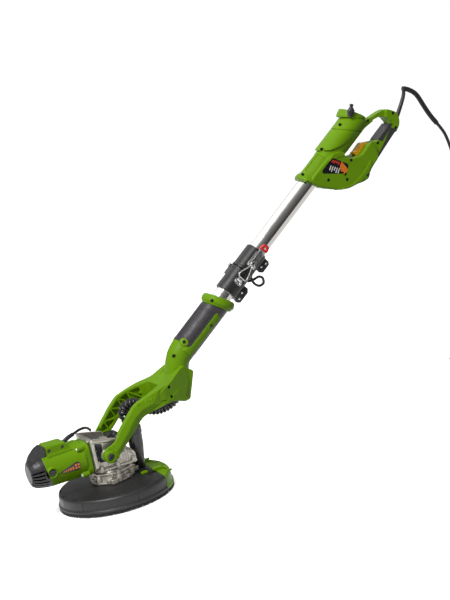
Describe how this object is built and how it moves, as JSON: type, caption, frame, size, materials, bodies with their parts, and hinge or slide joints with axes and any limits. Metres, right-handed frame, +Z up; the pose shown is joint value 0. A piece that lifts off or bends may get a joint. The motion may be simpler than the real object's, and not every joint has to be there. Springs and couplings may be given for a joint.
{
  "type": "drywall sander",
  "caption": "Long-reach drywall sander: a round sanding head on a two-axis fork, a pole that folds beside a latch, and a rear handle with trigger and dust port.",
  "frame": {"origin": "middle of the rear grip", "axes": "+X along the tool's length, from the sanding head towards the cord; +Z up, square to the sanding disc; +Y across the tool"},
  "size_m": [1.3172, 0.252, 0.6965],
  "materials": {
    "lime_plastic": "smooth",
    "dark_plastic": "matte",
    "soft_grip": "matte",
    "black_plastic": "satin",
    "cast_aluminium": "satin",
    "tube_aluminium": "polished",
    "steel": "satin",
    "copper_windings": "satin",
    "orange_plastic": "smooth",
    "red_plastic": "smooth",
    "bristle": "matte",
    "grit": "matte",
    "rubber": "matte"
  },
  "bodies": {
    "handle": {"rear_handle_near": "lime_plastic", "rear_handle_far": "lime_plastic", "rear_grip_near": "soft_grip", "rear_grip_far": "soft_grip", "upper_tube": "tube_aluminium", "upper_sleeve": "black_plastic", "fold_pin": "steel", "fold_cable": "rubber", "latch_bracket": "steel", "trigger_switch": "black_plastic", "speed_board": "black_plastic", "cord_boot": "rubber", "mains_cord": "rubber", "cord_coil": "rubber", "cord_tie": "black_plastic", "cord_tail": "rubber", "plug": "rubber"},
    "lower": {"lower_handle_near": "lime_plastic", "lower_handle_far": "lime_plastic", "lower_grip_top_near": "soft_grip", "lower_grip_top_far": "soft_grip", "lower_grip_under_near": "soft_grip", "lower_grip_under_far": "soft_grip", "lower_tube": "tube_aluminium", "lower_sleeve": "black_plastic", "latch_catch": "steel", "pivot_bolt_near": "steel", "pivot_bolt_far": "steel", "dust_hose": "rubber"},
    "gimbal": {"gimbal_frame": "cast_aluminium"},
    "head": {"shroud": "dark_plastic", "brush_ring": "bristle", "gear_housing": "cast_aluminium", "gearbox_cover": "cast_aluminium", "lower_bearing": "steel", "upper_bearing": "steel", "front_bearing": "steel", "motor_housing": "lime_plastic", "motor_end_cap": "black_plastic", "cable_box": "lime_plastic", "stator": "steel", "brush_cap_near": "black_plastic", "brush_cap_far": "black_plastic", "motor_lead": "rubber", "dust_duct": "black_plastic"},
    "disc": {"spindle": "steel", "crown_gear": "steel", "backing_pad": "black_plastic", "abrasive_disc": "grit"},
    "rotor": {"armature": "copper_windings", "cooling_fan": "black_plastic", "pinion": "steel"},
    "segment": {"edge_segment": "lime_plastic", "segment_brush": "bristle"},
    "trigger": {"trigger": "orange_plastic"},
    "collar": {"dust_collar": "lime_plastic"},
    "collar_lock": {"collar_lock": "black_plastic"},
    "latch_lever": {"latch_lever": "steel", "latch_tip": "red_plastic"},
    "latch_bail": {"latch_bail": "steel"}
  },
  "joints": [
    {"name": "fold", "type": "hinge", "parent": "handle", "child": "lower", "pos_m": [-0.40954, 0.0315, -0.20361], "axis": [0.5878, 0, -0.809], "range_deg": [0, 150], "deforming": ["fold_cable"]},
    {"name": "fork_tilt", "type": "hinge", "parent": "lower", "child": "gimbal", "pos_m": [-0.82164, 0, -0.49014], "axis": [0, 1, 0], "range_deg": [-30, 60], "deforming": ["dust_hose"]},
    {"name": "head_roll", "type": "hinge", "parent": "gimbal", "child": "head", "pos_m": [-0.84764, 0, -0.49014], "axis": [1, 0, 0], "range_deg": [-15, 15], "deforming": ["motor_lead"]},
    {"name": "disc_spin", "type": "hinge", "parent": "head", "child": "disc", "pos_m": [-0.80564, 0, -0.53714], "axis": [0, 0, 1], "continuous": true},
    {"name": "rotor_spin", "type": "hinge", "parent": "head", "child": "rotor", "pos_m": [-0.86564, 0, -0.49014], "axis": [1, 0, 0], "continuous": true},
    {"name": "segment_slide", "type": "slide", "parent": "head", "child": "segment", "axis": [1, 0, 0], "range_m": [0, 0.045]},
    {"name": "trigger_pull", "type": "hinge", "parent": "handle", "child": "trigger", "pos_m": [-0.03735, 0, -0.00983], "axis": [0, -1, 0], "range_deg": [0, 6], "stiffness_Nm_per_rad": 0.8, "springref_deg": -5.73},
    {"name": "collar_turn", "type": "hinge", "parent": "handle", "child": "collar", "pos_m": [-0.06554, 0, 0.06833], "axis": [0.3173, 0, 0.9483], "range_deg": [-90, 5]},
    {"name": "collar_lock_turn", "type": "hinge", "parent": "collar", "child": "collar_lock", "pos_m": [-0.08442, -0.03257, 0.07359], "axis": [-0.4884, -0.8572, 0.1634], "range_deg": [0, 70]},
    {"name": "latch_lift", "type": "hinge", "parent": "handle", "child": "latch_lever", "pos_m": [-0.39534, -0.0288, -0.19082], "axis": [0.5878, 0, -0.809], "range_deg": [0, 95]},
    {"name": "bail_swing", "type": "hinge", "parent": "latch_lever", "child": "latch_bail", "pos_m": [-0.38563, -0.0309, -0.18377], "axis": [0.5878, 0, -0.809], "range_deg": [-95, 0]}
  ],
  "couplings": [
    {"joint": "rotor_spin", "follows": "disc_spin", "ratio": -2.4},
    {"joint": "bail_swing", "follows": "latch_lift", "ratio": -1}
  ]
}
